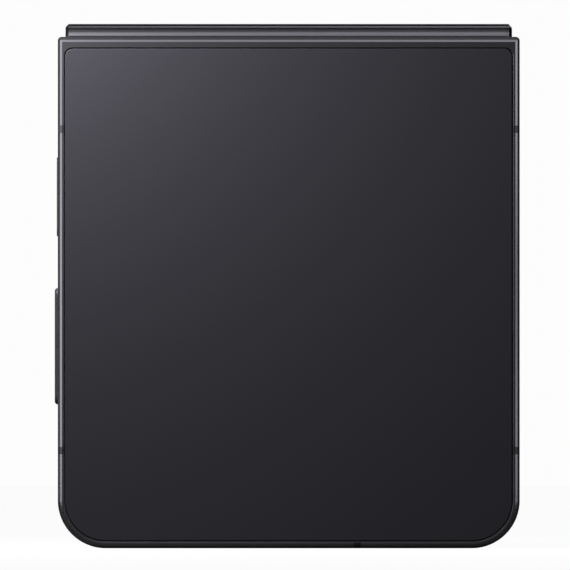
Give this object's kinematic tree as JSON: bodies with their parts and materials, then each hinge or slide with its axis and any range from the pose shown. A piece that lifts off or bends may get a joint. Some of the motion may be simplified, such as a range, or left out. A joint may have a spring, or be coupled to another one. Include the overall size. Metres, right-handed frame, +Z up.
{
  "type": "flip phone",
  "caption": "Folding-screen clamshell phone with a plain satin back, a rounded hinge spine at the top, side keys and a geared two-axis hinge.",
  "frame": {"origin": "centre of the footprint of the shut phone standing on its free edge, between the two halves", "axes": "+Z up towards the hinge spine, -Y out of the base half's back, +Y out of the lid's cover glass, keys on -X"},
  "size_m": [0.0757, 0.0146, 0.0855],
  "materials": {
    "band_metal": "satin dark grey anodised finish",
    "break_plastic": "moulded, flush with the band",
    "outer_glass": "satin tinted glass, opaque from behind",
    "bezel_plastic": "fine matt black",
    "pad_rubber": "soft black pads",
    "screen": "switched-off display, glossy black",
    "steel": "pressed and machined steel",
    "magnet": "nickel-plated bars",
    "cell": "black pouch cell",
    "coil": "enamelled copper winding",
    "board": "solder-masked circuit board",
    "module": "moulded black modules",
    "motor": "deep-drawn can",
    "spine_metal": "glossier dark grey anodised finish",
    "ring_metal": "turned and anodised ring",
    "lens": "dark coated lens glass",
    "flash": "frosted light window",
    "key_metal": "satin dark grey anodised finish"
  },
  "bodies": {
    "base": {"base_frame": "band_metal", "base_antenna_breaks": "break_plastic", "back_glass": "outer_glass", "base_bezel": "bezel_plastic", "base_bumpers": "pad_rubber", "base_screen": "screen", "base_screen_plate": "steel", "base_magnets": "magnet", "base_battery": "cell", "charging_coil": "coil", "charging_board": "board", "port_shell": "steel", "port_tongue": "module", "loudspeaker": "module", "haptic_motor": "motor", "base_microphone": "module", "base_hinge_arms": "steel"},
    "spine": {"spine_cover": "spine_metal", "spine_caps": "spine_metal", "hinge_brackets": "steel", "screen_fold": "screen"},
    "lid": {"lid_frame": "band_metal", "lid_antenna_breaks": "break_plastic", "cover_glass": "outer_glass", "cover_screen": "screen", "camera_rings": "ring_metal", "camera_lenses": "lens", "camera_modules": "module", "flash_lens": "flash", "lid_bezel": "bezel_plastic", "lid_bumpers": "pad_rubber", "lid_screen": "screen", "lid_screen_plate": "steel", "lid_magnets": "magnet", "lid_battery": "cell", "main_board": "board", "shield_cans": "steel", "earpiece": "module", "selfie_camera": "module", "key_switches": "module", "tray_cage": "steel", "lid_hinge_arms": "steel"},
    "power_key": {"power_key": "key_metal"},
    "volume_key": {"volume_key": "key_metal"},
    "card_tray": {"card_tray": "key_metal"},
    "left_base_pinion": {"left_base_pinion": "steel"},
    "left_lid_pinion": {"left_lid_pinion": "steel"},
    "right_base_pinion": {"right_base_pinion": "steel"},
    "right_lid_pinion": {"right_lid_pinion": "steel"}
  },
  "joints": [
    {"name": "base_fold", "type": "hinge", "parent": "base", "child": "spine", "pos_m": [0, -0.00185, 0.08155], "axis": [1, 0, 0], "range_deg": [0, 90], "deforming": ["screen_fold"]},
    {"name": "lid_fold", "type": "hinge", "parent": "spine", "child": "lid", "pos_m": [0, 0.00185, 0.08155], "axis": [1, 0, 0], "range_deg": [0, 90]},
    {"name": "power_press", "type": "slide", "parent": "lid", "child": "power_key", "axis": [1, 0, 0], "range_m": [0, 0.0002], "stiffness_N_per_m": 4000, "springref_m": -0.0003},
    {"name": "volume_rock", "type": "hinge", "parent": "lid", "child": "volume_key", "pos_m": [-0.0361, 0.0036, 0.0328], "axis": [0, 1, 0], "range_deg": [-1.2, 1.2], "stiffness_Nm_per_rad": 0.12},
    {"name": "tray_slide", "type": "slide", "parent": "lid", "child": "card_tray", "axis": [1, 0, 0], "range_m": [0, 0.021]},
    {"name": "left_base_pinion_spin", "type": "hinge", "parent": "spine", "child": "left_base_pinion", "pos_m": [-0.02, -0.0009, 0.08375], "axis": [1, 0, 0], "range_deg": [0, 156]},
    {"name": "left_lid_pinion_spin", "type": "hinge", "parent": "spine", "child": "left_lid_pinion", "pos_m": [-0.02, 0.0009, 0.08375], "axis": [1, 0, 0], "range_deg": [-156, 0]},
    {"name": "right_base_pinion_spin", "type": "hinge", "parent": "spine", "child": "right_base_pinion", "pos_m": [0.02, -0.0009, 0.08375], "axis": [1, 0, 0], "range_deg": [0, 156]},
    {"name": "right_lid_pinion_spin", "type": "hinge", "parent": "spine", "child": "right_lid_pinion", "pos_m": [0.02, 0.0009, 0.08375], "axis": [1, 0, 0], "range_deg": [-156, 0]}
  ],
  "couplings": [
    {"joint": "lid_fold", "follows": "base_fold", "ratio": 1},
    {"joint": "left_base_pinion_spin", "follows": "base_fold", "ratio": 1.6667},
    {"joint": "left_lid_pinion_spin", "follows": "base_fold", "ratio": -1.6667},
    {"joint": "right_base_pinion_spin", "follows": "base_fold", "ratio": 1.6667},
    {"joint": "right_lid_pinion_spin", "follows": "base_fold", "ratio": -1.6667}
  ]
}
